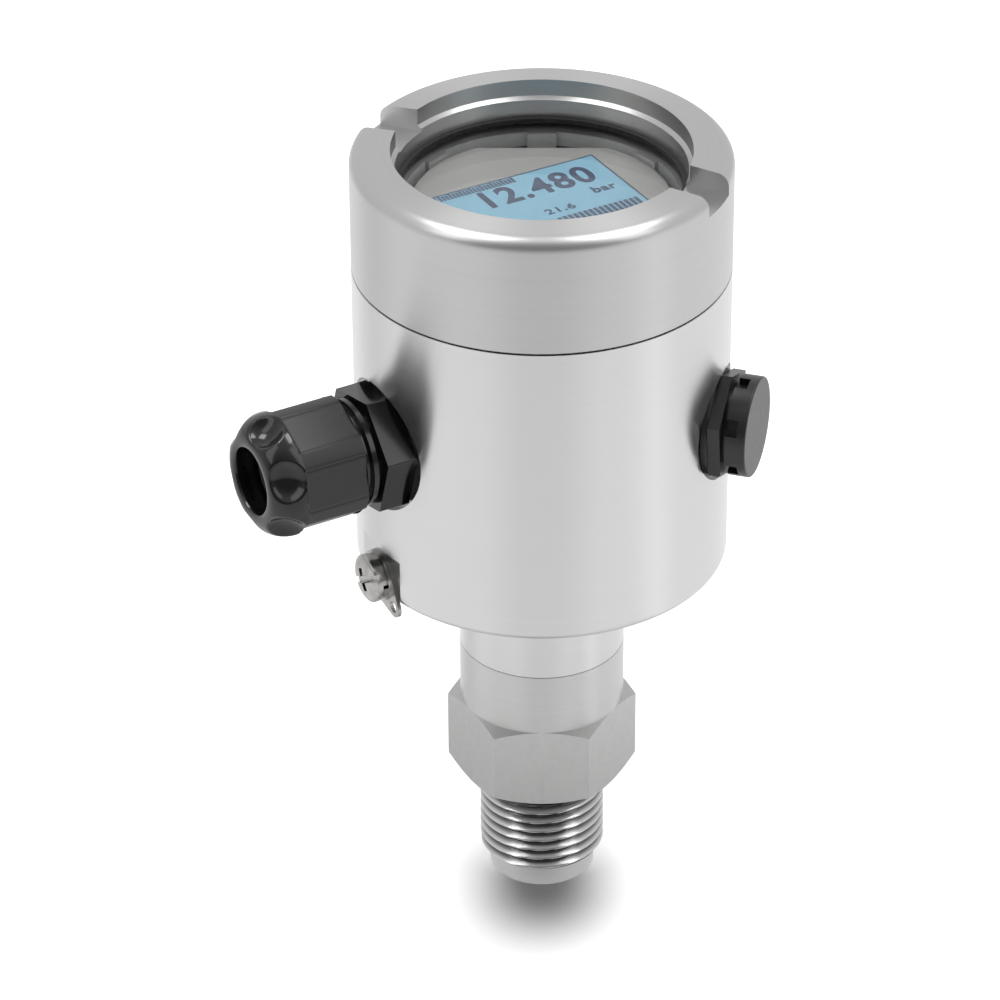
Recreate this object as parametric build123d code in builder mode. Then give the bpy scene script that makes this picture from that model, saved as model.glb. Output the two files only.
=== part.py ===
"""Pressure transmitter: a threaded process connection, a round steel housing that swivels on it,
a screwed window cover over a round display, a cable gland, a breather plug and an earth screw.

Millimetres, +Z up. The origin is the middle of the pressure port's mouth, at the lower end of the
process connection. The cable gland points along -X, and the display reads along +X.
"""
import os
from math import cos, radians, sin, sqrt, tan

from build123d import *

os.makedirs("parts", exist_ok=True)

# Clearances between pieces
turn_clear = 0.05      # radial, between faces that turn or slide as a fit
seat_clear = 0.05      # radial, between pieces that are assembled once
free_clear = 0.3       # around soft or loosely held pieces
face_gap = 0.1         # between flat faces that turn on each other

# Process connection, from the tip upwards
tip_radius = 8.7
tip_length = 4.0
tip_chamfer = 0.4
thread_radius = 10.48
thread_length = 13.1
thread_chamfer = 1.0
relief_radius = 9.2
relief_length = 3.0
hex_flats = 27.0
hex_height = 14.1
hex_bevel_angle = 30.0
hex_turn = 30.0
neck_radius = 13.5
lower_neck_length = 10.7
port_radius = 3.0

# Measuring cell and what is stacked on it inside the connection
cell_radius = 9.0
cell_thickness = 5.0
cell_floor_rise = 1.8      # from the hexagon's top face to the cell's seat
cell_seat_width = 2.0
chamber_depth = 2.2
cell_seal_width = 1.5
cell_seal_height = 1.2
clamp_ring_width = 3.0
clamp_ring_height = 4.0
clamp_slot_width = 2.0
clamp_slot_depth = 1.2
cell_pin_radius = 0.45
cell_pin_circle_radius = 3.6
cell_pin_count = 5
sensor_board_radius = 8.4
board_thickness = 1.2
sensor_lead_radius = 1.5
lead_plug_length = 8.0
lead_plug_width = 6.0
lead_plug_height = 5.0

# Swivel stem, its seal and its retaining ring
stem_radius = 11.45
neck_seal_section = 1.3
neck_seal_rise = 7.5       # from the stem's foot to the groove
stem_groove_depth = 0.75
stem_end_length = 1.3
swivel_ring_width = 3.8
swivel_ring_thickness = 1.2
swivel_ring_opening = 36.0  # degrees

# Housing
upper_neck_length = 17.8
pot_radius = 30.0
pot_height = 51.8
pot_foot_round = 1.4
pot_wall = 4.8
pot_floor = 3.5
foot_ledge_width = 4.7
foot_bore_depth = 4.2
neck_round = 0.6
spigot_height = 7.2
spigot_chamfer = 0.6

# Window cover
cover_height = 19.9
cover_skirt_wall = 1.95    # around the thread on the housing's spigot
cover_stack_wall = 4.75    # around the glass and its retaining ring
cover_crown = 0.35         # the rim's top face falls this much outwards
cover_crown_width = 4.2
cover_edge_round = 2.1
cover_foot_chamfer = 0.3
window_rim_width = 6.44
window_step = 0.66         # the lower part of the bore is this much narrower
window_upper_depth = 2.8
window_bevel = 0.5
window_lower_depth = 2.8
glass_thickness = 3.0
glass_gasket_height = 0.8
glass_gasket_width = 3.3
glass_edge_chamfer = 0.3
retainer_height = 2.4
retainer_width = 3.4
retainer_lug_count = 7
retainer_lug_width = 4.6
retainer_lug_reach = 0.9
retainer_lug_angle = 60.0
cover_seal_height = 1.2
cover_seal_width = 2.3
notch_width = 8.0
notch_depth = 3.8
notch_angle = -54.0

# Cable gland, along -X
gland_angle = 180.0
gland_rise = 27.2          # above the pot's foot
gland_seat_depth = 2.4     # from the pot's side to the spot-faced seat
gland_spotface_radius = 10.8
gland_thread_radius = 8.0
gland_thread_inside = 10.0
gland_gasket_thickness = 0.5
gland_gasket_radius = 9.9
gland_hex_flats = 18.0
gland_hex_length = 5.2
gland_hex_turn = 12.0
gland_hex_round = 0.4
gland_neck_radius = 7.4
gland_neck_length = 0.9
gland_collar_radius = 8.8
gland_collar_length = 0.8
gland_sleeve_length = 8.6
gland_bore_radius = 5.0
gland_mouth_radius = 6.6
gland_mouth_depth = 5.0
locknut_flats = 22.0
locknut_length = 3.0
claw_length = 6.6
claw_wall = 1.0
claw_slot_count = 8
claw_slot_width = 0.9
claw_slot_length = 3.2
claw_nose_round = 1.0
insert_length = 9.4
insert_wall = 2.1
insert_lip = 0.5
nut_start_gap = 1.5
nut_length = 15.8
nut_rib_radius = 10.0
nut_flats = 18.5
nut_flat_length = 10.4
nut_rib_width = 2.9
nut_rib_turn = 37.0
nut_side_count = 6
nut_thread_depth = 8.2
nut_hole_radius = 5.4
nut_lip = 1.0
nut_lip_bevel = 0.5
nut_dome_length = 5.0
nut_scoop_radius = 4.0
nut_scoop_inset = 0.6      # from the nut's outer end to the scoops' centres
nut_scoop_reach = 11.6     # from the nut's axis to the scoops' centres

# Breather plug
vent_angle = -47.0
vent_rise = 27.7
vent_seat_depth = 1.6
vent_spotface_radius = 9.4
vent_thread_radius = 6.0
vent_thread_inside = 7.5
vent_bore_radius = 2.6
vent_seal_radius = 8.5
vent_seal_thickness = 1.2
vent_hex_flats = 16.0
vent_hex_length = 2.0
vent_hex_turn = -22.0
vent_neck_radius = 6.4
vent_neck_length = 2.2
membrane_radius = 4.6
membrane_thickness = 0.4
vent_cap_gap = 0.7
vent_cap_radius = 8.1
vent_cap_length = 3.3
vent_cap_face = 1.4
vent_cap_round = 0.3
vent_notch_count = 6
vent_notch_width = 2.7
vent_notch_depth = 1.3
vent_notch_turn = 35.0

# Earth screw on its flat, under the gland
earth_rise = 3.0
earth_flat_depth = 0.6
earth_flat_reach = 5.2     # from the screw's axis to the flat's upper end
earth_screw_radius = 2.0
earth_screw_inside = 4.6
earth_head_radius = 4.0
earth_head_edge = 0.7
earth_head_crown = 1.0
earth_slot_width = 1.1
earth_slot_depth = 1.2
earth_slot_turn = 28.0
earth_cross_reach = 1.9
earth_washer_radius = 4.2
earth_washer_thickness = 0.5
spring_washer_radius = 3.8
spring_washer_thickness = 0.8
spring_washer_cut = 0.7
tag_thickness = 0.6
tag_ring_radius = 4.3
tag_ear_radius = 1.75
tag_hole_radius = 0.95
tag_ear_across = 4.6
tag_ear_drop = 3.6

# Electronics inside the housing
cup_gland_gap = 0.5        # under the gland's lock nut
cup_wall = 1.5
cup_board_depth = 2.5
cup_lead_hole = 7.0
main_board_clear = 0.3
terminal_count = 5
terminal_pitch = 5.0
terminal_depth = 11.0
terminal_block_height = 12.0
terminal_end = 1.2
terminal_offset = 3.0
terminal_step = 3.5
terminal_wire_radius = 1.6
terminal_well_radius = 1.9
terminal_well_depth = 3.2
terminal_screw_height = 1.8
terminal_screw_slot = 0.6
post_count = 3
post_flats = 5.0
post_inset = 3.1           # from the main board's edge to the post's axis
ribbon_width = 9.0
ribbon_thickness = 0.7
ribbon_block_gap = 0.7
ribbon_angle = 50.0
carrier_thickness = 2.0
carrier_clear = 0.6
carrier_socket_gap = 0.8
carrier_hub_radius = 9.0
carrier_hub_height = 3.3
carrier_hub_bore = 6.0
carrier_lug_count = 3
carrier_lug_width = 4.6
carrier_lug_thickness = 1.5
carrier_lug_height = 8.5
carrier_lug_gap = 1.9      # from the display's flat to the lug

# Display module
display_flat_depth = 2.8   # of each of the three flats on its edge
display_wall = 1.4
display_top = 1.5
display_height = 7.6
display_edge_round = 0.4
display_window_gap = 0.6
display_back_thickness = 1.4
display_socket_width = 2.4
display_socket_length = 2.2
display_board_drop = 3.6
display_board_clear = 0.3
lcd_side_margin = 6.15     # from the panel's ends to the display's radius
lcd_row_margin = 11.4
lcd_thickness = 1.0
lcd_seat_edge = 1.4
lcd_clear = 0.05
key_count = 4
key_pitch = 4.6
key_panel_gap = 2.8        # from the panel's edge to the row of keys
key_radius = 1.75
key_proud = 0.25
key_flange = 0.35
key_flange_thickness = 0.8
key_stop_gap = 0.15

# Heights along the axis
thread_foot = tip_length
hex_foot = thread_foot + thread_length + relief_length
hex_head = hex_foot + hex_height
stem_foot = hex_head + lower_neck_length
cell_seat = hex_head + cell_floor_rise
cell_foot = cell_seat + cell_seal_height
clamp_foot = cell_foot + cell_thickness
sensor_board_foot = clamp_foot + clamp_ring_height
neck_foot = stem_foot + face_gap
pot_foot = neck_foot + upper_neck_length
pot_floor_top = pot_foot + pot_floor
cup_foot = pot_floor_top + foot_bore_depth
gland_height = pot_foot + gland_rise
vent_height = pot_foot + vent_rise
earth_height = pot_foot + earth_rise
shoulder = pot_foot + pot_height
spigot_top = shoulder + spigot_height
cover_foot = shoulder + face_gap
cover_top = cover_foot + cover_height
glass_gasket_top = cover_top - window_upper_depth - window_bevel - window_lower_depth
glass_top = glass_gasket_top - glass_gasket_height
glass_foot = glass_top - glass_thickness
retainer_foot = glass_foot - retainer_height
swivel_ring_foot = pot_floor_top + face_gap
stem_top = swivel_ring_foot + swivel_ring_thickness + stem_end_length
cup_height = gland_height - locknut_flats / 2 - cup_gland_gap - cup_foot
main_board_foot = cup_foot + cup_height - cup_board_depth
main_board_top = main_board_foot + board_thickness
display_face = glass_foot - display_window_gap
display_case_foot = display_face - display_height
display_back_foot = display_case_foot - display_back_thickness
carrier_top = display_back_foot - display_socket_length - carrier_socket_gap
carrier_foot = carrier_top - carrier_thickness
post_length = carrier_foot - main_board_top

# Radii that follow from their neighbours
stem_bore_radius = cell_radius + free_clear / 2
neck_bore_radius = stem_radius + turn_clear
chamber_radius = stem_bore_radius - cell_seat_width
pot_bore_radius = pot_radius - pot_wall
foot_bore_radius = pot_bore_radius - foot_ledge_width
cover_thread_radius = pot_radius - cover_skirt_wall
spigot_radius = cover_thread_radius - turn_clear
stack_radius = pot_radius - cover_stack_wall
window_radius = pot_radius - window_rim_width
glass_radius = stack_radius - seat_clear
retainer_inner_radius = glass_radius - retainer_width
display_radius = retainer_inner_radius - retainer_lug_reach - free_clear
display_flat = display_radius - display_flat_depth
lcd_width = 2 * (display_radius - lcd_side_margin)
lcd_length = 2 * (display_radius - lcd_row_margin)
key_row = -lcd_length / 2 - key_panel_gap
cup_radius = pot_bore_radius - free_clear
main_board_radius = cup_radius - cup_wall - main_board_clear

# Places along the gland's, the breather's and the earth screw's own axes
gland_seat = pot_radius - gland_seat_depth
gland_thread_end = gland_seat - gland_thread_inside
gland_hex_foot = gland_seat + gland_gasket_thickness
gland_hex_end = gland_hex_foot + gland_hex_length
gland_collar_foot = gland_hex_end + gland_neck_length
gland_sleeve_foot = gland_collar_foot + gland_collar_length
gland_sleeve_end = gland_sleeve_foot + gland_sleeve_length
claw_foot = gland_sleeve_end - gland_mouth_depth + free_clear
claw_radius = gland_mouth_radius - turn_clear
nut_foot = gland_sleeve_foot + nut_start_gap
nut_end = nut_foot + nut_length
vent_seat = pot_radius - vent_seat_depth
vent_thread_end = vent_seat - vent_thread_inside
vent_hex_foot = vent_seat + vent_seal_thickness
vent_hex_end = vent_hex_foot + vent_hex_length
vent_mouth = vent_hex_end + vent_neck_length
vent_cap_foot = vent_hex_end + vent_cap_gap
earth_seat = pot_radius - earth_flat_depth
earth_washer_foot = earth_seat + tag_thickness
spring_washer_foot = earth_washer_foot + earth_washer_thickness
earth_head_foot = spring_washer_foot + spring_washer_thickness


def write(solid, node):
    """Label a finished piece and write it to its own file."""
    solid.label = node
    export_step(solid, f"parts/{node}.step")


def level(height):
    """Horizontal plane at a height."""
    return Plane.XY.offset(height)


def side_plane(angle, height, distance):
    """Plane across a horizontal axis that leaves the housing at a plan angle; its x runs level."""
    out = (cos(radians(angle)), sin(radians(angle)), 0)
    level_direction = (-out[1], out[0], 0)
    return Plane(origin=(distance * out[0], distance * out[1], height), x_dir=level_direction, z_dir=out)


def long_plane(angle, height):
    """Plane that holds such an axis: its x runs out along the axis and its y runs up."""
    out = (cos(radians(angle)), sin(radians(angle)), 0)
    return Plane(origin=(0, 0, height), x_dir=out, z_dir=(out[1], -out[0], 0))


def disc(plane, radius, thickness, mode=Mode.ADD):
    """Round plate or hole on a plane."""
    with BuildSketch(plane) as section:
        Circle(radius)
    extrude(section.sketch, amount=thickness, mode=mode)


def ring(plane, outer, inner, thickness, mode=Mode.ADD):
    """Flat ring on a plane."""
    with BuildSketch(plane) as section:
        Circle(outer)
        Circle(inner, mode=Mode.SUBTRACT)
    extrude(section.sketch, amount=thickness, mode=mode)


def hexagon(plane, flats, thickness, turn=0.0):
    """Hexagonal prism on a plane."""
    with BuildSketch(plane) as section:
        RegularPolygon(flats / 2, 6, major_radius=False, rotation=turn)
    extrude(section.sketch, amount=thickness)


def bevelled_hexagon(foot, flats, thickness, turn):
    """Upright hexagonal prism whose corners are turned down by a cone at both ends."""
    hexagon(level(foot), flats, thickness, turn)
    corner = flats / sqrt(3)
    bevel = (corner - flats / 2) * tan(radians(hex_bevel_angle))
    with BuildSketch(Plane.XZ) as section:
        with BuildLine():
            Polyline(
                (0, foot),
                (flats / 2, foot),
                (corner, foot + bevel),
                (corner, foot + thickness - bevel),
                (flats / 2, foot + thickness),
                (0, foot + thickness),
                close=True,
            )
        make_face()
    revolve(section.sketch, axis=Axis.Z, mode=Mode.INTERSECT)


def port_axis(angle, height):
    """Horizontal axis that leaves the housing at a plan angle."""
    return Axis((0, 0, height), (cos(radians(angle)), sin(radians(angle)), 0))


# Process connection: tip, thread, relief groove, hexagon, neck and the hollow swivel stem
with BuildPart() as process_fitting:
    bevelled_hexagon(hex_foot, hex_flats, hex_height, hex_turn)
    disc(level(0), tip_radius, tip_length)
    chamfer(edges().filter_by(GeomType.CIRCLE).sort_by(Axis.Z)[0], tip_chamfer)
    with BuildSketch(Plane.XZ):
        with BuildLine():
            Polyline(
                (0, thread_foot),
                (thread_radius - thread_chamfer, thread_foot),
                (thread_radius, thread_foot + thread_chamfer),
                (thread_radius, thread_foot + thread_length - thread_chamfer),
                (thread_radius - thread_chamfer, thread_foot + thread_length),
                (0, thread_foot + thread_length),
                close=True,
            )
        make_face()
    revolve(axis=Axis.Z)
    disc(level(thread_foot + thread_length), relief_radius, relief_length)
    disc(level(hex_head), neck_radius, lower_neck_length)
    disc(level(stem_foot), stem_radius, stem_top - stem_foot)
    disc(level(cell_seat), stem_bore_radius, stem_top - cell_seat, Mode.SUBTRACT)
    disc(level(cell_seat - chamber_depth), chamber_radius, chamber_depth, Mode.SUBTRACT)
    disc(level(0), port_radius, cell_seat, Mode.SUBTRACT)
    seal_groove_foot = stem_foot + neck_seal_rise
    ring(
        level(seal_groove_foot),
        stem_radius,
        neck_bore_radius - neck_seal_section - turn_clear,
        neck_seal_section + free_clear,
        Mode.SUBTRACT,
    )
    ring(
        level(swivel_ring_foot),
        stem_radius,
        stem_radius - stem_groove_depth,
        swivel_ring_thickness,
        Mode.SUBTRACT,
    )
write(process_fitting.part, "process_fitting")

# Ceramic measuring cell with its contact pins, on a flat seal, held down by a slotted ring
with BuildPart() as cell_seal:
    seal_inner = chamber_radius + free_clear / 2
    ring(level(cell_seat), seal_inner + cell_seal_width, seal_inner, cell_seal_height)
write(cell_seal.part, "cell_seal")

with BuildPart() as measuring_cell:
    disc(level(cell_foot), cell_radius, cell_thickness)
    with BuildSketch(level(clamp_foot)):
        with PolarLocations(cell_pin_circle_radius, cell_pin_count):
            Circle(cell_pin_radius)
    extrude(amount=clamp_ring_height)
write(measuring_cell.part, "measuring_cell")

with BuildPart() as cell_clamp_ring:
    clamp_radius = stem_bore_radius - seat_clear
    ring(level(clamp_foot), clamp_radius, clamp_radius - clamp_ring_width, clamp_ring_height)
    with BuildSketch(level(sensor_board_foot)):
        with PolarLocations(clamp_radius, 4):
            Rectangle(4 * clamp_ring_width, clamp_slot_width)
    extrude(amount=-clamp_slot_depth, mode=Mode.SUBTRACT)
write(cell_clamp_ring.part, "cell_clamp_ring")

with BuildPart() as sensor_board:
    disc(level(sensor_board_foot), sensor_board_radius, board_thickness)
write(sensor_board.part, "sensor_board")

# Lead from the sensor board up the middle of the stem, ending in a plug under the main board
with BuildPart() as sensor_lead:
    lead_foot = sensor_board_foot + board_thickness
    plug_foot = main_board_foot - free_clear - lead_plug_height
    disc(level(lead_foot), sensor_lead_radius, plug_foot - lead_foot)
    with BuildSketch(level(plug_foot)):
        Rectangle(lead_plug_length, lead_plug_width)
    extrude(amount=lead_plug_height)
write(sensor_lead.part, "sensor_lead")

# Seal in the stem's groove, and the open ring that keeps the housing on the stem
with BuildPart() as neck_seal:
    seal_radius = (neck_seal_section - turn_clear) / 2
    with BuildSketch(Plane.XZ):
        seal_middle = neck_bore_radius - neck_seal_section + seal_radius
        with Locations((seal_middle, seal_groove_foot + (neck_seal_section + free_clear) / 2)):
            Circle(seal_radius)
    revolve(axis=Axis.Z)
write(neck_seal.part, "neck_seal")

with BuildPart() as swivel_ring:
    ring_inner = stem_radius - stem_groove_depth + seat_clear
    ring(level(swivel_ring_foot), ring_inner + swivel_ring_width, ring_inner, swivel_ring_thickness)
    opening_reach = 2 * (ring_inner + swivel_ring_width)
    opening_half = opening_reach * tan(radians(swivel_ring_opening / 2))
    with BuildSketch(level(swivel_ring_foot)):
        with BuildLine():
            Polyline((0, 0), (opening_reach, -opening_half), (opening_reach, opening_half), close=True)
        make_face()
    extrude(amount=swivel_ring_thickness, mode=Mode.SUBTRACT)
write(swivel_ring.part, "swivel_ring")

# Housing: neck and pot turned from bar, with the gland's and the breather's spot-faced ports
# and the earth screw's milled flat
with BuildPart() as housing:
    disc(level(pot_foot), pot_radius, pot_height)
    foot_edge = edges().filter_by(GeomType.CIRCLE).sort_by(Axis.Z)[0]
    fillet(foot_edge, pot_foot_round)
    disc(level(neck_foot), neck_radius, upper_neck_length)
    circles = edges().filter_by(GeomType.CIRCLE)
    foot_circles = circles.filter_by_position(Axis.Z, pot_foot - 0.01, pot_foot + 0.01)
    fillet(foot_circles.sort_by(SortBy.RADIUS)[0], neck_round)
    disc(level(shoulder), spigot_radius, spigot_height)
    chamfer(edges().filter_by(GeomType.CIRCLE).sort_by(Axis.Z)[-1], spigot_chamfer)
    disc(level(cup_foot), pot_bore_radius, spigot_top - cup_foot, Mode.SUBTRACT)
    disc(level(pot_floor_top), foot_bore_radius, foot_bore_depth, Mode.SUBTRACT)
    disc(level(neck_foot), neck_bore_radius, pot_floor_top - neck_foot, Mode.SUBTRACT)
    gland_face = side_plane(gland_angle, gland_height, gland_seat)
    disc(gland_face, gland_spotface_radius, pot_radius, Mode.SUBTRACT)
    disc(gland_face, gland_thread_radius + seat_clear, -gland_seat, Mode.SUBTRACT)
    vent_face = side_plane(vent_angle, vent_height, vent_seat)
    disc(vent_face, vent_spotface_radius, pot_radius, Mode.SUBTRACT)
    disc(vent_face, vent_thread_radius + seat_clear, -vent_seat, Mode.SUBTRACT)
    earth_face = side_plane(gland_angle, earth_height, earth_seat)
    with BuildSketch(earth_face):
        with Locations((0, earth_flat_reach)):
            Rectangle(2 * pot_radius, pot_radius, align=(Align.CENTER, Align.MAX))
    extrude(amount=pot_radius, mode=Mode.SUBTRACT)
    disc(earth_face, earth_screw_radius + turn_clear, -earth_screw_inside - free_clear, Mode.SUBTRACT)
write(housing.part, "housing")

# Window cover: a ring with two tool notches, a stepped bore and the seats of the glass stack
with BuildPart() as cover:
    rim_inner = window_radius
    lower_bore = window_radius - window_step
    cover_step = spigot_top + face_gap / 2 + cover_seal_height + face_gap / 2
    with BuildSketch(Plane.XZ):
        with BuildLine():
            Polyline(
                (cover_thread_radius, cover_foot),
                (pot_radius - cover_foot_chamfer, cover_foot),
                (pot_radius, cover_foot + cover_foot_chamfer),
                (pot_radius, cover_top - cover_crown),
                (rim_inner + cover_crown_width, cover_top - cover_crown),
                (rim_inner, cover_top),
                (rim_inner, cover_top - window_upper_depth),
                (lower_bore, cover_top - window_upper_depth - window_bevel),
                (lower_bore, glass_gasket_top),
                (stack_radius, glass_gasket_top),
                (stack_radius, cover_step),
                (cover_thread_radius, cover_step),
                close=True,
            )
        make_face()
    revolve(axis=Axis.Z)
    rim_edge = edges().filter_by(GeomType.CIRCLE).filter_by(
        lambda edge: abs(edge.radius - pot_radius) < 0.001
    ).sort_by(Axis.Z)[-1]
    fillet(rim_edge, cover_edge_round)
    with BuildSketch(level(cover_top)):
        with PolarLocations(pot_radius, 2, start_angle=notch_angle):
            Rectangle(pot_radius, notch_width)
    extrude(amount=-notch_depth, mode=Mode.SUBTRACT)
write(cover.part, "cover")

with BuildPart() as window_gasket:
    ring(level(glass_top), glass_radius, glass_radius - glass_gasket_width, glass_gasket_height)
write(window_gasket.part, "window_gasket")

with BuildPart() as window_glass:
    disc(level(glass_foot), glass_radius, glass_thickness)
    chamfer(edges().filter_by(GeomType.CIRCLE), glass_edge_chamfer)
write(window_glass.part, "window_glass")

# Retaining ring under the glass, with lugs for its tool
with BuildPart() as window_retainer:
    ring(level(retainer_foot), glass_radius, retainer_inner_radius, retainer_height)
    with BuildSketch(level(retainer_foot)):
        with PolarLocations(retainer_inner_radius, retainer_lug_count, start_angle=retainer_lug_angle):
            Rectangle(2 * retainer_lug_reach, retainer_lug_width)
    extrude(amount=retainer_height)
write(window_retainer.part, "window_retainer")

# Flat seal between the housing's spigot and the cover's step
with BuildPart() as cover_seal:
    seal_outer = spigot_radius - free_clear
    ring(level(spigot_top + face_gap / 2), seal_outer, seal_outer - cover_seal_width, cover_seal_height)
write(cover_seal.part, "cover_seal")

# Cable gland body: thread, hexagon, neck, collar and the sleeve that the dome nut runs on
with BuildPart() as gland_body:
    hexagon(side_plane(gland_angle, gland_height, gland_hex_foot), gland_hex_flats, gland_hex_length,
            gland_hex_turn)
    fillet(edges().filter_by(Axis.X), gland_hex_round)
    disc(side_plane(gland_angle, gland_height, gland_hex_foot), gland_thread_radius,
         gland_thread_end - gland_hex_foot)
    disc(side_plane(gland_angle, gland_height, gland_hex_end), gland_neck_radius, gland_neck_length)
    disc(side_plane(gland_angle, gland_height, gland_collar_foot), gland_collar_radius, gland_collar_length)
    disc(side_plane(gland_angle, gland_height, gland_sleeve_foot), gland_thread_radius, gland_sleeve_length)
    disc(side_plane(gland_angle, gland_height, gland_sleeve_end), gland_bore_radius,
         gland_thread_end - gland_sleeve_end, Mode.SUBTRACT)
    disc(side_plane(gland_angle, gland_height, gland_sleeve_end), gland_mouth_radius, -gland_mouth_depth,
         Mode.SUBTRACT)
write(gland_body.part, "gland_body")

with BuildPart() as gland_gasket:
    ring(gland_face, gland_gasket_radius, gland_thread_radius + seat_clear, gland_gasket_thickness)
write(gland_gasket.part, "gland_gasket")

with BuildPart() as gland_locknut:
    locknut_corner = locknut_flats / sqrt(3)
    locknut_face = sqrt(pot_bore_radius ** 2 - locknut_corner ** 2) - seat_clear
    hexagon(side_plane(gland_angle, gland_height, locknut_face), locknut_flats, -locknut_length)
    disc(side_plane(gland_angle, gland_height, locknut_face), gland_thread_radius + seat_clear,
         -locknut_length, Mode.SUBTRACT)
write(gland_locknut.part, "gland_locknut")

# Clamping claw: a sleeve in the body's mouth whose outer end is cut into fingers
with BuildPart() as gland_claw:
    claw_start = side_plane(gland_angle, gland_height, claw_foot)
    claw_end = side_plane(gland_angle, gland_height, claw_foot + claw_length)
    disc(claw_start, claw_radius, claw_length)
    fillet(edges().filter_by(GeomType.CIRCLE).sort_by(Axis.X)[0], claw_nose_round)
    disc(claw_start, claw_radius - claw_wall, claw_length, Mode.SUBTRACT)
    with BuildSketch(claw_end):
        with PolarLocations(claw_radius, claw_slot_count):
            Rectangle(4 * claw_wall, claw_slot_width)
    extrude(amount=-claw_slot_length, mode=Mode.SUBTRACT)
write(gland_claw.part, "gland_claw")

# Rubber sealing insert inside the claw, with the cable's hole
with BuildPart() as gland_insert:
    insert_radius = claw_radius - claw_wall - seat_clear
    disc(claw_start, insert_radius, insert_length)
    fillet(edges().filter_by(GeomType.CIRCLE).sort_by(Axis.X)[0], insert_lip)
    disc(claw_start, insert_radius - insert_wall, insert_length, Mode.SUBTRACT)
write(gland_insert.part, "gland_insert")

# Dome nut: six flats between narrow ribs, a rounded nose with a scoop at each rib's end, and a lipped
# cable hole
with BuildPart() as gland_nut:
    nut_thread_end = nut_foot + nut_thread_depth
    with BuildSketch(long_plane(gland_angle, gland_height)):
        with BuildLine():
            foot_line = Line((nut_foot, gland_thread_radius + turn_clear), (nut_foot, nut_rib_radius))
            body_line = Line(foot_line @ 1, (nut_end - nut_dome_length, nut_rib_radius))
            dome = EllipticalCenterArc(
                (nut_end - nut_dome_length, nut_hole_radius + nut_lip),
                nut_dome_length,
                nut_rib_radius - nut_hole_radius - nut_lip,
                start_angle=0,
                arc_size=90,
            )
            nose_line = Line(dome @ 0, (nut_end, nut_hole_radius + nut_lip_bevel))
            lip_line = Line(nose_line @ 1, (nut_end - nut_lip_bevel, nut_hole_radius))
            hole_line = Line(lip_line @ 1, (nut_end - nut_lip - nut_lip_bevel, nut_hole_radius))
            cone_line = Line(hole_line @ 1, (nut_thread_end, claw_radius + free_clear))
            thread_end_line = Line(cone_line @ 1, (nut_thread_end, gland_thread_radius + turn_clear))
            Line(thread_end_line @ 1, foot_line @ 0)
        make_face()
    revolve(axis=port_axis(gland_angle, gland_height))
    flat_step = nut_rib_radius - nut_flats / 2
    flat_span = 2 * nut_rib_radius * sin(radians(180 / nut_side_count)) - nut_rib_width
    with BuildSketch(side_plane(gland_angle, gland_height, nut_foot)):
        half_side = 180 / nut_side_count
        with PolarLocations(nut_flats / 2, nut_side_count, start_angle=nut_rib_turn + half_side):
            Rectangle(2 * flat_step, flat_span, align=(Align.MIN, Align.CENTER))
    extrude(amount=nut_flat_length, mode=Mode.SUBTRACT)
    with Locations(side_plane(gland_angle, gland_height, nut_end - nut_scoop_inset)):
        with PolarLocations(nut_scoop_reach, nut_side_count, start_angle=nut_rib_turn):
            Sphere(nut_scoop_radius, mode=Mode.SUBTRACT)
write(gland_nut.part, "gland_nut")

# Breather plug: hexagon body on a ring seal, a membrane and a castellated cap over it
with BuildPart() as vent_seal:
    ring(vent_face, vent_seal_radius, vent_thread_radius + seat_clear, vent_seal_thickness)
    seal_edges = edges().filter_by(GeomType.CIRCLE)
    outer_edges = seal_edges.filter_by(lambda edge: edge.radius > vent_seal_radius - 0.001)
    fillet(outer_edges, vent_seal_thickness / 3)
write(vent_seal.part, "vent_seal")

with BuildPart() as vent_body:
    hexagon(side_plane(vent_angle, vent_height, vent_hex_foot), vent_hex_flats, vent_hex_length,
            vent_hex_turn)
    disc(side_plane(vent_angle, vent_height, vent_hex_foot), vent_thread_radius,
         vent_thread_end - vent_hex_foot)
    disc(side_plane(vent_angle, vent_height, vent_hex_end), vent_neck_radius, vent_neck_length)
    mouth_plane = side_plane(vent_angle, vent_height, vent_mouth)
    disc(mouth_plane, vent_bore_radius, vent_thread_end - vent_mouth, Mode.SUBTRACT)
    disc(mouth_plane, membrane_radius + seat_clear, -membrane_thickness, Mode.SUBTRACT)
write(vent_body.part, "vent_body")

with BuildPart() as vent_membrane:
    disc(mouth_plane, membrane_radius, -membrane_thickness)
write(vent_membrane.part, "vent_membrane")

with BuildPart() as vent_cap:
    cap_start = side_plane(vent_angle, vent_height, vent_cap_foot)
    disc(cap_start, vent_cap_radius, vent_cap_length)
    fillet(edges().filter_by(GeomType.CIRCLE).sort_by(Axis.X)[-1], vent_cap_round)
    disc(cap_start, vent_neck_radius + seat_clear, vent_cap_length - vent_cap_face, Mode.SUBTRACT)
    with BuildSketch(cap_start):
        with PolarLocations(vent_cap_radius, vent_notch_count, start_angle=vent_notch_turn):
            Rectangle(2 * vent_notch_depth, vent_notch_width)
    extrude(amount=vent_cap_length - vent_cap_face, mode=Mode.SUBTRACT)
write(vent_cap.part, "vent_cap")

# Tag lug behind the earth screw's washers, with an ear for a seal wire
with BuildPart() as tag_lug:
    with BuildSketch(earth_face):
        Circle(tag_ring_radius)
        with Locations((tag_ear_across, -tag_ear_drop)):
            Circle(tag_ear_radius)
        make_hull()
        Circle(earth_screw_radius + free_clear, mode=Mode.SUBTRACT)
        with Locations((tag_ear_across, -tag_ear_drop)):
            Circle(tag_hole_radius, mode=Mode.SUBTRACT)
    extrude(amount=tag_thickness)
write(tag_lug.part, "tag_lug")

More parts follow.
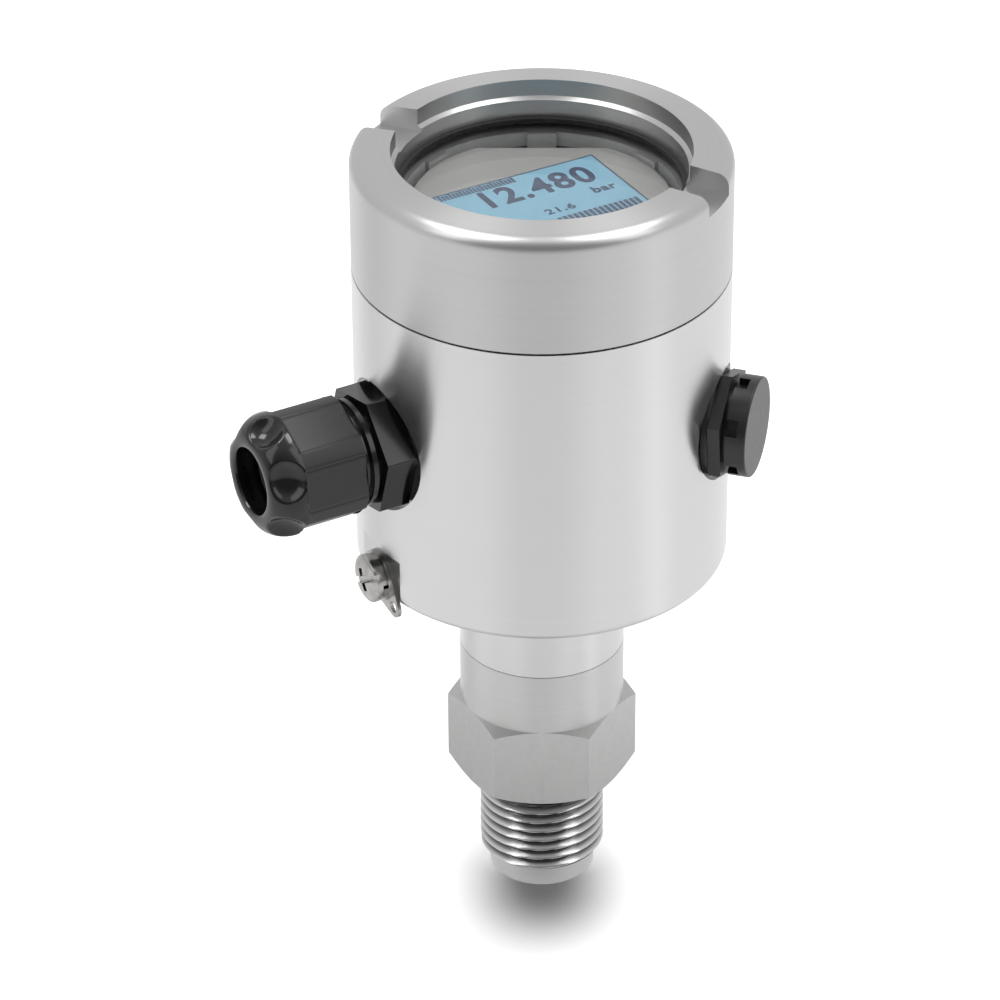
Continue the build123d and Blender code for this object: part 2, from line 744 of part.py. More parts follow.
with BuildPart() as earth_washer:
    ring(side_plane(gland_angle, earth_height, earth_washer_foot), earth_washer_radius,
         earth_screw_radius + turn_clear, earth_washer_thickness)
write(earth_washer.part, "earth_washer")

with BuildPart() as spring_washer:
    spring_face = side_plane(gland_angle, earth_height, spring_washer_foot)
    ring(spring_face, spring_washer_radius, earth_screw_radius + turn_clear, spring_washer_thickness)
    with BuildSketch(spring_face):
        Rectangle(2 * spring_washer_radius, spring_washer_cut, align=(Align.MIN, Align.CENTER))
    extrude(amount=spring_washer_thickness, mode=Mode.SUBTRACT)
write(spring_washer.part, "spring_washer")

# Earth screw: round head with a straight slot and a cross recess
with BuildPart() as earth_screw:
    head_start = earth_head_foot + face_gap / 2
    head_end = head_start + earth_head_edge + earth_head_crown
    with BuildSketch(long_plane(gland_angle, earth_height)):
        with BuildLine():
            seat_line = Line((head_start, 0), (head_start, earth_head_radius))
            rim_line = Line(seat_line @ 1, (head_start + earth_head_edge, earth_head_radius))
            crown = EllipticalCenterArc(
                (head_start + earth_head_edge, 0),
                earth_head_crown,
                earth_head_radius,
                start_angle=0,
                arc_size=90,
            )
            Line(crown @ 0, seat_line @ 0)
        make_face()
    revolve(axis=port_axis(gland_angle, earth_height))
    disc(side_plane(gland_angle, earth_height, head_start), earth_screw_radius,
         -(head_start - earth_seat) - earth_screw_inside)
    with BuildSketch(side_plane(gland_angle, earth_height, head_end)):
        Rectangle(2 * earth_head_radius, earth_slot_width, rotation=earth_slot_turn)
        Rectangle(2 * earth_cross_reach, earth_slot_width, rotation=earth_slot_turn + 90)
    extrude(amount=-earth_slot_depth, mode=Mode.SUBTRACT)
write(earth_screw.part, "earth_screw")

# Electronics cup on the housing's inner ledge, with the main board in its mouth
with BuildPart() as electronics_cup:
    disc(level(cup_foot), cup_radius, cup_height)
    board_seat_radius = main_board_radius - cup_wall
    disc(level(cup_foot + cup_wall), board_seat_radius, cup_height, Mode.SUBTRACT)
    disc(level(main_board_foot), cup_radius - cup_wall, cup_board_depth, Mode.SUBTRACT)
    disc(level(cup_foot), cup_lead_hole, cup_wall, Mode.SUBTRACT)
write(electronics_cup.part, "electronics_cup")

with BuildPart() as main_board:
    disc(level(main_board_foot), main_board_radius, board_thickness)
write(main_board.part, "main_board")

# Terminal block across the gland's line, stepped towards it, with a clamp screw in each well
terminal_length = terminal_count * terminal_pitch + 2 * terminal_end
terminal_rows = [(index - (terminal_count - 1) / 2) * terminal_pitch for index in range(terminal_count)]
with BuildPart() as terminal_block:
    block_top = main_board_top + terminal_block_height
    with BuildSketch(level(main_board_top)):
        with Locations((terminal_offset, 0)):
            Rectangle(terminal_depth, terminal_length)
    extrude(amount=terminal_block_height)
    with BuildSketch(level(block_top)):
        with Locations((terminal_offset - terminal_depth / 2, 0)):
            Rectangle(2 * terminal_step, terminal_length)
    extrude(amount=-terminal_step, mode=Mode.SUBTRACT)
    wire_face = Plane(origin=(terminal_offset - terminal_depth / 2, 0, main_board_top), x_dir=(0, 1, 0),
                      z_dir=(1, 0, 0))
    with BuildSketch(wire_face):
        with Locations(*[(row, (terminal_block_height - terminal_step) / 2) for row in terminal_rows]):
            Circle(terminal_wire_radius)
    extrude(amount=terminal_depth / 2, mode=Mode.SUBTRACT)
    well_x = terminal_offset + terminal_step / 2
    with BuildSketch(level(block_top)):
        with Locations(*[(well_x, row) for row in terminal_rows]):
            Circle(terminal_well_radius)
    extrude(amount=-terminal_well_depth, mode=Mode.SUBTRACT)
write(terminal_block.part, "terminal_block")

with BuildPart() as terminal_screws:
    well_floor = block_top - terminal_well_depth
    with BuildSketch(level(well_floor)):
        with Locations(*[(well_x, row) for row in terminal_rows]):
            Circle(terminal_well_radius - seat_clear)
    extrude(amount=terminal_screw_height)
    with BuildSketch(level(well_floor + terminal_screw_height)):
        with Locations(*[(well_x, row) for row in terminal_rows]):
            Rectangle(2 * terminal_well_radius, terminal_screw_slot, rotation=90)
    extrude(amount=-terminal_screw_slot, mode=Mode.SUBTRACT)
write(terminal_screws.part, "terminal_screws")

# Three posts carry the display's carrier above the terminals
with BuildPart() as display_posts:
    with BuildSketch(level(main_board_top)):
        with PolarLocations(main_board_radius - post_inset, post_count):
            RegularPolygon(post_flats / 2, 6, major_radius=False)
    extrude(amount=post_length)
write(display_posts.part, "display_posts")

with BuildPart() as display_ribbon:
    block_reach = (
        (terminal_offset + terminal_depth / 2) * cos(radians(ribbon_angle))
        + terminal_length / 2 * sin(radians(ribbon_angle))
    )
    ribbon_reach = block_reach + ribbon_block_gap + ribbon_thickness / 2
    with BuildSketch(level(main_board_top)):
        with PolarLocations(ribbon_reach, 1, start_angle=ribbon_angle):
            Rectangle(ribbon_thickness, ribbon_width)
    extrude(amount=post_length)
write(display_ribbon.part, "display_ribbon")

# Carrier: a plate with the hub that the display turns on and three guide lugs by its flats
with BuildPart() as display_carrier:
    disc(level(carrier_foot), pot_bore_radius - carrier_clear, carrier_thickness)
    disc(level(carrier_top), carrier_hub_radius, carrier_hub_height)
    disc(level(carrier_foot), carrier_hub_bore, carrier_thickness + carrier_hub_height, Mode.SUBTRACT)
    with BuildSketch(level(carrier_top)):
        lug_middle = display_flat + carrier_lug_gap + carrier_lug_thickness / 2
        with PolarLocations(lug_middle, carrier_lug_count, start_angle=retainer_lug_angle):
            Rectangle(carrier_lug_thickness, carrier_lug_width)
    extrude(amount=carrier_lug_height)
write(display_carrier.part, "display_carrier")


def display_outline():
    """Round outline of the display with its three flats, on the sketch plane in use."""
    Circle(display_radius)
    with PolarLocations(display_flat, carrier_lug_count, start_angle=retainer_lug_angle):
        Rectangle(display_radius, 2 * display_radius, align=(Align.MIN, Align.CENTER), mode=Mode.SUBTRACT)


# Display module: back plate with the turning socket, board, shell, panel and four keys
with BuildPart() as display_back:
    with BuildSketch(level(display_back_foot)):
        display_outline()
    extrude(amount=display_back_thickness)
    socket_radius = carrier_hub_radius + turn_clear
    disc(level(display_back_foot), socket_radius + display_socket_width, -display_socket_length)
    disc(level(display_case_foot), socket_radius, -display_back_thickness - display_socket_length,
         Mode.SUBTRACT)
write(display_back.part, "display_back")

key_places = [((index - (key_count - 1) / 2) * key_pitch, key_row) for index in range(key_count)]
with BuildPart() as display_case:
    with BuildSketch(level(display_case_foot)):
        display_outline()
    extrude(amount=display_height)
    top_edges = faces().sort_by(Axis.Z)[-1].edges()
    fillet(top_edges, display_edge_round)
    with BuildSketch(level(display_case_foot)) as cavity:
        display_outline()
        offset(amount=-display_wall)
    extrude(amount=display_height - display_top, mode=Mode.SUBTRACT)
    with BuildSketch(level(display_face)):
        Rectangle(lcd_width + 2 * lcd_clear, lcd_length + 2 * lcd_clear)
    extrude(amount=-lcd_thickness, mode=Mode.SUBTRACT)
    with BuildSketch(level(display_face)):
        Rectangle(lcd_width - 2 * lcd_seat_edge, lcd_length - 2 * lcd_seat_edge)
    extrude(amount=-display_top, mode=Mode.SUBTRACT)
    with BuildSketch(level(display_face)):
        with Locations(*key_places):
            Circle(key_radius + turn_clear)
    extrude(amount=-display_top, mode=Mode.SUBTRACT)
write(display_case.part, "display_case")

with BuildPart() as lcd_panel:
    with BuildSketch(level(display_face)):
        Rectangle(lcd_width, lcd_length)
    extrude(amount=-lcd_thickness)
write(lcd_panel.part, "lcd_panel")

with BuildPart() as display_board:
    with BuildSketch(level(display_face - display_board_drop)):
        display_outline()
        offset(amount=-display_wall - display_board_clear)
    extrude(amount=-board_thickness)
write(display_board.part, "display_board")

key_flange_top = display_face - display_top - key_stop_gap
for index, (key_x, key_y) in enumerate(key_places):
    with BuildPart() as key:
        with BuildSketch(level(key_flange_top - key_flange_thickness)):
            with Locations((key_x, key_y)):
                Circle(key_radius + key_flange)
        extrude(amount=key_flange_thickness)
        with BuildSketch(level(key_flange_top)):
            with Locations((key_x, key_y)):
                Circle(key_radius)
        extrude(amount=display_face + key_proud - key_flange_top)
    write(key.part, f"display_key_{index + 1}")
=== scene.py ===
"""Looks of a pressure transmitter: turned steel, a black cable gland and breather plug, and a display
that is read through a window. Metres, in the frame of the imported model."""
from math import cos, pi, radians, sin

import bpy
import numpy as np
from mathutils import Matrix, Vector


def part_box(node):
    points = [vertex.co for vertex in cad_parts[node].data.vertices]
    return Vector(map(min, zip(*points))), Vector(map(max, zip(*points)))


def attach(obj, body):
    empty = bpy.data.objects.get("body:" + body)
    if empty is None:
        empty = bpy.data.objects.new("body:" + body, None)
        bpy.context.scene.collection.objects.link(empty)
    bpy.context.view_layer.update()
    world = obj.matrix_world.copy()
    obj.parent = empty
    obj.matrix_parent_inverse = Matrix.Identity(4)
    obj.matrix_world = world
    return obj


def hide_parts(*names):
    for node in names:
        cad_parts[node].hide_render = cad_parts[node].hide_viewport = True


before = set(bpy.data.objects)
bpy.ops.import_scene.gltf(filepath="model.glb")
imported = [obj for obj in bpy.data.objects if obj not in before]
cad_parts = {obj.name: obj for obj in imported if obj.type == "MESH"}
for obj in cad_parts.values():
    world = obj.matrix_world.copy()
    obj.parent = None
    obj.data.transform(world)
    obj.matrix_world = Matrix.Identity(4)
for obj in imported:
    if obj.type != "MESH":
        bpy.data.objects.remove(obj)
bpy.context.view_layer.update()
MM = 0.001

# Camera: a long lens that looks down past the cable gland and aims at a point on the housing's axis,
# with the frame moved a little to one side.
sight_fall = radians(31.54)
sight_bearing = radians(240.0)
sight_distance = 790 * MM
aim_height = 70.6 * MM
camera_data = bpy.data.cameras.new("camera")
camera_data.lens = 175.8
camera_data.shift_x = -0.0418
camera_data.clip_start = 0.05
camera = bpy.data.objects.new("camera", camera_data)
camera.location = (
    sight_distance * cos(sight_fall) * cos(sight_bearing),
    sight_distance * cos(sight_fall) * sin(sight_bearing),
    aim_height + sight_distance * sin(sight_fall),
)
camera.rotation_euler = (pi / 2 - sight_fall, 0, sight_bearing + pi / 2)
bpy.context.collection.objects.link(camera)
bpy.context.scene.camera = camera

# Studio: a white table that keeps the soft shadow and has a painted shadow in its colour close in front of the
# tip, and a pale surround, darker on the camera's side. Three soft cards and four lamps shape what the steel
# mirrors.


def add_node(tree, kind, **inputs):
    """A node of that kind, its sockets set by name; a space in a socket's name is written as _."""
    made = tree.nodes.new(kind)
    for name, value in inputs.items():
        made.inputs[name.replace("_", " ")].default_value = value
    return made


def operation(tree, name, first, second=None):
    """A maths node on one or two sockets or numbers; the socket that holds its result."""
    made = tree.nodes.new("ShaderNodeMath")
    made.operation = name
    for index, value in enumerate((first, second)):
        if value is None:
            continue
        if isinstance(value, bpy.types.NodeSocket):
            tree.links.new(value, made.inputs[index])
        else:
            made.inputs[index].default_value = value
    return made.outputs["Value"]


def axis_place(tree, centre=(0, 0, 0), turn=(0, 0, 0)):
    """Object coordinates moved to a piece's own centre and turned so that its axis is Z."""
    place = tree.nodes.new("ShaderNodeTexCoord")
    mapping = tree.nodes.new("ShaderNodeMapping")
    mapping.vector_type = "TEXTURE"
    mapping.inputs["Location"].default_value = centre
    mapping.inputs["Rotation"].default_value = turn
    tree.links.new(place.outputs["Object"], mapping.inputs["Vector"])
    return mapping.outputs["Vector"]


def smooth_span(tree, value, span, results):
    """A value taken smoothly from one span of numbers to another; the socket that holds its result."""
    made = tree.nodes.new("ShaderNodeMapRange")
    made.interpolation_type = "SMOOTHSTEP"
    tree.links.new(value, made.inputs["Value"])
    made.inputs["From Min"].default_value, made.inputs["From Max"].default_value = span
    made.inputs["To Min"].default_value, made.inputs["To Max"].default_value = results
    return made.outputs["Result"]


def flat_reach(tree, first, second):
    """The root of the sum of two sockets' squares, a distance over a flat; the socket that holds it."""
    squares = [operation(tree, "MULTIPLY", side, side) for side in (first, second)]
    return operation(tree, "SQRT", operation(tree, "ADD", *squares))


table_radius = 3.0
table_mesh = bpy.data.meshes.new("table")
table_angles = np.linspace(0, 2 * pi, 96, endpoint=False)
table_rim = np.stack([np.cos(table_angles), np.sin(table_angles), 0 * table_angles], 1) * table_radius
table_mesh.from_pydata(table_rim.tolist(), [], [list(range(len(table_rim)))])
table = bpy.data.objects.new("table", table_mesh)
bpy.context.collection.objects.link(table)
table_paint = bpy.data.materials.new("table_paint")
table_paint.use_nodes = True
tree = table_paint.node_tree
tree.nodes.clear()
table_matt = tree.nodes.new("ShaderNodeBsdfDiffuse")
table_parts = tree.nodes.new("ShaderNodeSeparateXYZ")
tree.links.new(axis_place(tree, turn=(0, 0, sight_bearing)), table_parts.inputs[0])
table_x, table_y = table_parts.outputs["X"], table_parts.outputs["Y"]
shadow_middle, shadow_stretch = 9.5 * MM, 0.80
shadow_span = (2 * MM, 20 * MM)
painted_shadow_reach, painted_shadow_tone, table_tone = 13 * MM, 0.42, 0.80
shadow_front = operation(tree, "SUBTRACT", table_x, shadow_middle)
shadow_front = operation(tree, "MULTIPLY", shadow_front, shadow_stretch)
shadow_reach = flat_reach(tree, shadow_front, table_y)
off_shadow = smooth_span(tree, shadow_reach, shadow_span, (0, 1))
# Painted shadow: the table's own colour darkens from 0.80 to 0.42 towards a point just in front of the tip.
painted_shadow_colour = smooth_span(tree, shadow_reach, (0, painted_shadow_reach), (painted_shadow_tone, table_tone))
tree.links.new(painted_shadow_colour, table_matt.inputs["Color"])
table_bearing = operation(tree, "ARCTAN2", table_y, table_x)
table_turn = operation(tree, "ADD", operation(tree, "DIVIDE", table_bearing, 2 * pi), 0.5)
table_bands = tree.nodes.new("ShaderNodeValToRGB")
tree.links.new(table_turn, table_bands.inputs["Fac"])
lit_tone = 0.54
# Three cards: bearing from the camera's, half width and soft edge in degrees, and the tone they add.
room_cards = ((-115, 5, 20, -0.18), (0, 12, 20, -0.13), (68, 2, 14, 0.15))
bands = table_bands.color_ramp.elements
for plain_band in (bands[0], bands[-1]):
    plain_band.color = (*[1.0 - lit_tone] * 3, 1)
for bearing, half_width, soft_edge, added in room_cards:
    for side in (-1, 1):
        for reach, tone in ((half_width, 1.0 + added), (half_width + soft_edge, 1.0)):
            band = bands.new((bearing + side * reach) / 360 + 0.5)
            band.color = (*[tone - lit_tone] * 3, 1)
table_path = tree.nodes.new("ShaderNodeLightPath")
plain_glow = 0.78
table_seen = operation(tree, "MULTIPLY", table_path.outputs["Is Camera Ray"], plain_glow)
table_through = operation(tree, "MULTIPLY", table_path.outputs["Is Transmission Ray"], plain_glow)
# The table's glow as steel mirrors it: dimmer close to the object, a painted shade, and brighter off to the sides
# and right under the tip, painted light.
far_span, far_tones = (45 * MM, 80 * MM), (0.6, 1)
beside_span, beside_tones = (0.4, 0.85), (0, 0.15)
tip_span, tip_tones = (12 * MM, 17 * MM), (0.55, 0)
table_reach = flat_reach(tree, table_x, table_y)
table_beside = operation(tree, "DIVIDE", operation(tree, "ABSOLUTE", table_y), table_reach)
far_glow_painted_shade = smooth_span(tree, table_reach, far_span, far_tones)
far_glow_painted_shade = operation(tree, "MULTIPLY", far_glow_painted_shade, table_bands.outputs["Color"])
side_painted_light = smooth_span(tree, table_beside, beside_span, beside_tones)
tip_painted_light = smooth_span(tree, table_reach, tip_span, tip_tones)
table_mirrored = operation(tree, "MAXIMUM", operation(tree, "MAXIMUM", far_glow_painted_shade, side_painted_light), tip_painted_light)
table_mirrored = operation(tree, "MULTIPLY", table_path.outputs["Is Glossy Ray"], table_mirrored)
table_direct = operation(tree, "MAXIMUM", table_seen, table_through)
table_direct = operation(tree, "MULTIPLY", table_direct, off_shadow)
table_glow = add_node(tree, "ShaderNodeEmission", Color=(1, 1, 1, 1))
tree.links.new(operation(tree, "MAXIMUM", table_direct, table_mirrored), table_glow.inputs["Strength"])
table_sum = tree.nodes.new("ShaderNodeAddShader")
tree.links.new(table_matt.outputs[0], table_sum.inputs[0])
tree.links.new(table_glow.outputs[0], table_sum.inputs[1])
tree.links.new(table_sum.outputs[0], tree.nodes.new("ShaderNodeOutputMaterial").inputs["Surface"])
table_mesh.materials.append(table_paint)

surround = bpy.data.worlds.new("surround")
bpy.context.scene.world = surround
surround.use_nodes = True
tree = surround.node_tree
tree.nodes.clear()
surround_place = tree.nodes.new("ShaderNodeTexCoord")
surround_parts = tree.nodes.new("ShaderNodeSeparateXYZ")
tree.links.new(surround_place.outputs["Generated"], surround_parts.inputs[0])
towards_camera = operation(
    tree, "ADD",
    operation(tree, "MULTIPLY", surround_parts.outputs["X"], cos(sight_bearing)),
    operation(tree, "MULTIPLY", surround_parts.outputs["Y"], sin(sight_bearing)),
)
camera_side_span, camera_side_tones = (0.1, 0.8), (0.80, 0.2)
surround_mirrored = smooth_span(tree, towards_camera, camera_side_span, camera_side_tones)
surround_fill = 0.22
surround_path = tree.nodes.new("ShaderNodeLightPath")
surround_off_object = operation(tree, "MULTIPLY", surround_path.outputs["Is Glossy Ray"], surround_mirrored)
surround_straight = operation(tree, "MAXIMUM", surround_path.outputs["Is Camera Ray"],
                              surround_path.outputs["Is Transmission Ray"])
surround_tone = operation(tree, "MAXIMUM", surround_off_object, surround_straight)
surround_on_matt = operation(tree, "MULTIPLY", surround_path.outputs["Is Diffuse Ray"], surround_fill)
surround_tone = operation(tree, "ADD", surround_tone, surround_on_matt)
surround_light = add_node(tree, "ShaderNodeBackground", Color=(1, 1, 1, 1))
tree.links.new(surround_tone, surround_light.inputs["Strength"])
tree.links.new(surround_light.outputs[0], tree.nodes.new("ShaderNodeOutputWorld").inputs["Surface"])

housing_middle = 90 * MM


def softbox(name, bearing, height_angle, distance, width, height, power):
    """A rectangular lamp on a sphere round the housing's middle, turned to face it."""
    lamp_data = bpy.data.lights.new(name, "AREA")
    lamp_data.shape = "RECTANGLE"
    lamp_data.size = width
    lamp_data.size_y = height
    lamp_data.energy = power
    lamp = bpy.data.objects.new(name, lamp_data)
    bearing, height_angle = radians(bearing), radians(height_angle)
    lamp.location = (
        distance * cos(height_angle) * cos(bearing),
        distance * cos(height_angle) * sin(bearing),
        housing_middle + distance * sin(height_angle),
    )
    lamp.rotation_euler = (pi / 2 - height_angle, 0, bearing + pi / 2)
    bpy.context.collection.objects.link(lamp)


softbox("lamp_over_left", 120, 70, 1.1, 0.4, 0.4, 3.4)
softbox("lamp_over_right", 0, 70, 1.1, 0.4, 0.4, 3.4)
softbox("lamp_left", 180, 45, 1.0, 0.35, 0.9, 1.4)
softbox("lamp_right", 300, 45, 1.0, 0.35, 0.9, 1.4)

bpy.context.scene.view_settings.view_transform = "Standard"


# Process connection: one steel piece, turned from hexagon bar, with the thread cut on its lower end. The
# thread and tip are made as one surface, and the hexagon with its neck and stem as another.


def new_material(name, colour, roughness, metallic=0.0):
    """A material and its shader, with the plain sockets set."""
    made = bpy.data.materials.new(name)
    made.use_nodes = True
    shader = made.node_tree.nodes["Principled BSDF"]
    shader.inputs["Base Color"].default_value = (*colour, 1)
    shader.inputs["Roughness"].default_value = roughness
    shader.inputs["Metallic"].default_value = metallic
    return made, shader


def lathe_place(tree, place, across, along):
    """Coordinates that are the same all the way round an axis: its radius, its height and a little angle."""
    parts = tree.nodes.new("ShaderNodeSeparateXYZ")
    tree.links.new(place, parts.inputs[0])
    reach = flat_reach(tree, parts.outputs["X"], parts.outputs["Y"])
    made = tree.nodes.new("ShaderNodeCombineXYZ")
    tree.links.new(operation(tree, "MULTIPLY", reach, across), made.inputs["X"])
    tree.links.new(operation(tree, "MULTIPLY", parts.outputs["Z"], across), made.inputs["Y"])
    angle = operation(tree, "ARCTAN2", parts.outputs["Y"], parts.outputs["X"])
    tree.links.new(operation(tree, "MULTIPLY", operation(tree, "SINE", angle), along), made.inputs["Z"])
    return made.outputs["Vector"]


def grain(made, shader, place, scale, detail, colours, roughnesses, relief):
    """Noise that shifts a finish between two colours and two roughnesses and raises it by the relief."""
    tree = made.node_tree
    noise = add_node(tree, "ShaderNodeTexNoise", Scale=scale, Detail=detail)
    tree.links.new(place, noise.inputs["Vector"])
    tint = tree.nodes.new("ShaderNodeMix")
    tint.data_type = "RGBA"
    for socket, colour in zip((s for s in tint.inputs if s.type == "RGBA"), colours):
        socket.default_value = (*colour, 1)
    tree.links.new(noise.outputs["Fac"], tint.inputs["Factor"])
    tree.links.new([s for s in tint.outputs if s.type == "RGBA"][0], shader.inputs["Base Color"])
    spread = tree.nodes.new("ShaderNodeMapRange")
    spread.inputs["To Min"].default_value, spread.inputs["To Max"].default_value = roughnesses
    tree.links.new(noise.outputs["Fac"], spread.inputs["Value"])
    tree.links.new(spread.outputs["Result"], shader.inputs["Roughness"])
    bump = add_node(tree, "ShaderNodeBump", Strength=1.0, Distance=relief)
    tree.links.new(noise.outputs["Fac"], bump.inputs["Height"])
    tree.links.new(bump.outputs["Normal"], shader.inputs["Normal"])


def turned_steel(name, colours, roughnesses, relief, centre=(0, 0, 0), turn=(0, 0, 0)):
    """Steel as a lathe leaves it: fine grooves round the axis, which draw its highlights out along it."""
    made, shader = new_material(name, colours[0], roughnesses[0], 1.0)
    tree = made.node_tree
    place = lathe_place(tree, axis_place(tree, centre, turn), 2600, 0.6)
    grain(made, shader, place, 1.0, 4, colours, roughnesses, relief)
    shader.inputs["Anisotropic"].default_value = 0.75
    shader.inputs["Anisotropic Rotation"].default_value = 0.25
    tangent = tree.nodes.new("ShaderNodeTangent")
    tangent.direction_type = "RADIAL"
    tangent.axis = "Z"
    tree.links.new(tangent.outputs["Tangent"], shader.inputs["Tangent"])
    return made


def dress(node, material):
    """Give a carried-over CAD node its finish."""
    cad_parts[node].data.materials.clear()
    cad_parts[node].data.materials.append(material)


def closed_grid(name, points, sharp_angle=35.0):
    """A tube-like surface from an array of rings of points, closed both ways round, as a shaded object."""
    rings, steps, _ = points.shape
    index = np.arange(rings * steps).reshape(rings, steps)
    ahead, beside = np.roll(index, -1, 0), np.roll(index, -1, 1)
    corners = np.stack([index, beside, np.roll(beside, -1, 0), ahead], -1).reshape(-1, 4)
    mesh = bpy.data.meshes.new(name)
    mesh.from_pydata(points.reshape(-1, 3).tolist(), [], corners.tolist())
    mesh.polygons.foreach_set("use_smooth", np.ones(len(corners), bool))
    mesh.set_sharp_from_angle(angle=radians(sharp_angle))
    made = bpy.data.objects.new(name, mesh)
    bpy.context.collection.objects.link(made)
    return made


def fit_piece(piece, material, body, slot, *replaced):
    """Give a new piece its finish and its body, and hide the CAD nodes it stands for; the slot is not used."""
    piece.data.materials.append(material)
    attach(piece, body)
    if replaced:
        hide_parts(*replaced)


fitting_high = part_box("process_fitting")[1]
thread_radius = 10.48 * MM
thread_pitch = 1.814 * MM
thread_depth = 1.16 * MM
thread_foot, thread_head = 4.0 * MM, 17.1 * MM
thread_chamfer = 1.0 * MM
thread_cone_rise, thread_least_ridge = 0.15 * MM, 0.3 * MM
groove_sharpness = 0.93
tip_radius, tip_chamfer = 8.7 * MM, 0.4 * MM
relief_radius = 9.2 * MM
hexagon_foot, hexagon_head = 20.1 * MM, 34.2 * MM
hexagon_half = 13.5 * MM
bevel_slope, bevel_land = 0.577, 0.02 * MM
neck_head = 44.9 * MM
stem_radius = 11.45 * MM
port_radius = 3.0 * MM
cell_radius = 9.15 * MM
cell_seat = 36.0 * MM

round_steps = 216
around = np.linspace(0, 2 * pi, round_steps, endpoint=False)


def rings_at(angles, rows):
    """Rings of points round the Z axis, one for each row of (radius, height)."""
    return np.array([np.stack([r * np.cos(angles), r * np.sin(angles), 0 * angles + z], -1) for r, z in rows])


def thread_surface(angles):
    """Rings of the tip, thread and relief groove. The thread's radius is its outer radius less a rounded
    triangle wave of (height / pitch - angle / a full turn), and a cone ends it at the foot and the head."""
    rows_per_turn = 18
    rows = int(rows_per_turn * (thread_head - thread_foot) / thread_pitch)
    heights = np.linspace(thread_foot, thread_head, rows)
    height, angle = np.meshgrid(heights, angles, indexing="ij")
    wave = np.cos(2 * pi * (height / thread_pitch - angle / (2 * pi)))
    groove = thread_depth * (0.5 - np.arcsin(groove_sharpness * wave) / pi)
    cone = thread_radius - thread_chamfer + np.minimum(height - thread_foot, thread_head - height)
    radius = np.minimum(thread_radius - groove, cone + thread_cone_rise)
    radius = np.maximum(radius, tip_radius + thread_least_ridge)
    thread = np.stack([radius * np.cos(angle), radius * np.sin(angle), height], -1)
    below = [
        (port_radius, 0.0), (tip_radius - tip_chamfer, 0.0), (tip_radius, tip_chamfer), (tip_radius, thread_foot),
    ]
    above = [(relief_radius, thread_head), (relief_radius, hexagon_foot), (port_radius, hexagon_foot)]
    return np.concatenate([rings_at(angles, below), thread, rings_at(angles, above)])


def hexagon_surface(angles):
    """Rings of hexagon, neck and hollow stem. The hexagon's radius is its half width over the cosine of the
    angle from the nearest flat, and a flat cone turns its corners down at both ends."""
    from_flat = (angles + pi / 6) % (pi / 3) - pi / 6
    side = hexagon_half / np.cos(from_flat)
    drop = (side - hexagon_half) * bevel_slope + bevel_land
    return rings_at(angles, [
        (port_radius, hexagon_foot), (relief_radius, hexagon_foot), (hexagon_half, hexagon_foot),
        (side, hexagon_foot + drop), (side, hexagon_head - drop), (hexagon_half, hexagon_head),
        (hexagon_half, neck_head), (stem_radius, neck_head), (stem_radius, fitting_high.z),
        (cell_radius, fitting_high.z), (cell_radius, cell_seat), (port_radius, cell_seat),
    ])


def with_small_bevel(piece, width):
    """Round a piece's sharp edges by a small width, as a deburring cut does."""
    bevel = piece.modifiers.new("edge", "BEVEL")
    bevel.width = width
    bevel.segments = 2
    bevel.limit_method = "ANGLE"
    bevel.angle_limit = radians(25)
    bevel.harden_normals = True


def face_middles(mesh):
    """The middle of every face of a mesh, as the rows of an array."""
    middles = np.empty(len(mesh.polygons) * 3)
    mesh.polygons.foreach_get("center", middles)
    return middles.reshape(-1, 3)


def spotted(name, colours, roughnesses, scale=700, relief=2e-6, metallic=0.0, detail=4):
    """A finish whose colour, roughness and surface vary softly in all directions, as a cast skin's do."""
    made, shader = new_material(name, colours[0], roughnesses[0], metallic)
    grain(made, shader, axis_place(made.node_tree), scale, detail, colours, roughnesses, relief)
    return made


thread_steel, thread_shader = new_material("thread_steel", (0.6, 0.6, 0.6), 0.18, 1.0)
tree = thread_steel.node_tree
thread_place = tree.nodes.new("ShaderNodeSeparateXYZ")
tree.links.new(lathe_place(tree, axis_place(tree), 1.0, 0.0), thread_place.inputs[0])
# Painted shade: the steel's colour darkens with smaller radius, in the thread's grooves and the relief groove.
groove_span, groove_tones = (9.5 * MM, 10.35 * MM), (0.10, 0.66)
groove_painted_shade = smooth_span(tree, thread_place.outputs["X"], groove_span, groove_tones)
tree.links.new(groove_painted_shade, thread_shader.inputs["Base Color"])
thread_wear = add_node(tree, "ShaderNodeTexNoise", Scale=1500.0, Detail=3.0)
tree.links.new(axis_place(tree), thread_wear.inputs["Vector"])
tree.links.new(smooth_span(tree, thread_wear.outputs["Fac"], (0.3, 0.7), (0.14, 0.24)),
               thread_shader.inputs["Roughness"])
thread_piece = closed_grid("process_thread", thread_surface(around))
fit_piece(thread_piece, thread_steel, "process", "turned_steel")

bar_steel = spotted("bar_steel", ((0.55, 0.55, 0.547), (0.49, 0.49, 0.487)), (0.30, 0.42), 900, 2e-6, 1.0, 5)
hexagon_angles = np.unique(np.concatenate([around, np.arange(6) * pi / 3 + pi / 6]).round(9))
hexagon_piece = closed_grid("process_hexagon", hexagon_surface(hexagon_angles))
with_small_bevel(hexagon_piece, 0.12 * MM)
fit_piece(hexagon_piece, bar_steel, "process", "turned_steel", "process_fitting")
neck_steel = turned_steel("neck_steel", ((0.60, 0.60, 0.597), (0.54, 0.54, 0.537)), (0.28, 0.36), 3e-7)
hexagon_piece.data.materials.append(neck_steel)
thread_piece.data.materials.append(neck_steel)
on_tip = face_middles(thread_piece.data)[:, 2] < thread_foot
thread_piece.data.polygons.foreach_set("material_index", on_tip.astype(np.int32))
first_neck_ring = 5
on_neck = np.arange(len(hexagon_piece.data.polygons)) // len(hexagon_angles) >= first_neck_ring
hexagon_piece.data.polygons.foreach_set("material_index", on_neck.astype(np.int32))


